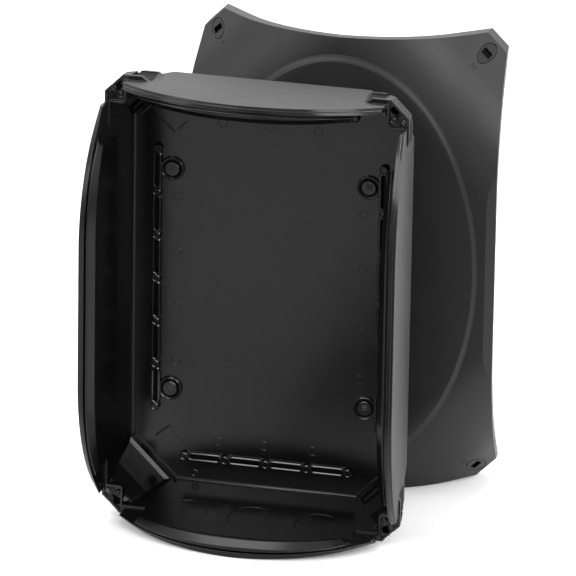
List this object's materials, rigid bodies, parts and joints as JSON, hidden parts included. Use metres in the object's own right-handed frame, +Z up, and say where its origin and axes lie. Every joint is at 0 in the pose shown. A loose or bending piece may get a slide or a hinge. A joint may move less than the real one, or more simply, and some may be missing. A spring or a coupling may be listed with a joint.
{
  "type": "junction box enclosure",
  "caption": "Black moulded cable junction box, upright and open, with an arched rim and notched corners; its lid with quarter-turn locks stands behind it.",
  "frame": {"origin": "centre of the flat back face of the base, the face that goes against the wall", "axes": "+Y into the wall, so the box opens towards -Y; +Z up, along the longer side; +X to the right seen from the front"},
  "size_m": [0.3356, 0.2739, 0.434],
  "materials": {
    "base_plastic": "black moulded, satin gloss",
    "lid_plastic": "black moulded, satin gloss",
    "lock_plastic": "black moulded, satin",
    "seal_foam": "closed-cell foam",
    "washer_rubber": "smooth rubber"
  },
  "bodies": {
    "housing": {"box_base": "base_plastic", "lid": "lid_plastic", "lid_seal": "seal_foam", "lock_washers": "washer_rubber"},
    "lock_tl": {"lock_top_left": "lock_plastic"},
    "lock_tr": {"lock_top_right": "lock_plastic"},
    "lock_bl": {"lock_bottom_left": "lock_plastic"},
    "lock_br": {"lock_bottom_right": "lock_plastic"}
  },
  "joints": [
    {"name": "turn_top_left", "type": "hinge", "parent": "housing", "child": "lock_tl", "pos_m": [-0.0805, 0.128, 0.2022], "axis": [0, -1, 0], "range_deg": [0, 90]},
    {"name": "turn_top_right", "type": "hinge", "parent": "housing", "child": "lock_tr", "pos_m": [0.1695, 0.128, 0.2022], "axis": [0, 1, 0], "range_deg": [0, 90]},
    {"name": "turn_bottom_left", "type": "hinge", "parent": "housing", "child": "lock_bl", "pos_m": [-0.0805, 0.128, -0.1954], "axis": [0, 1, 0], "range_deg": [0, 90]},
    {"name": "turn_bottom_right", "type": "hinge", "parent": "housing", "child": "lock_br", "pos_m": [0.1695, 0.128, -0.1954], "axis": [0, -1, 0], "range_deg": [0, 90]}
  ]
}
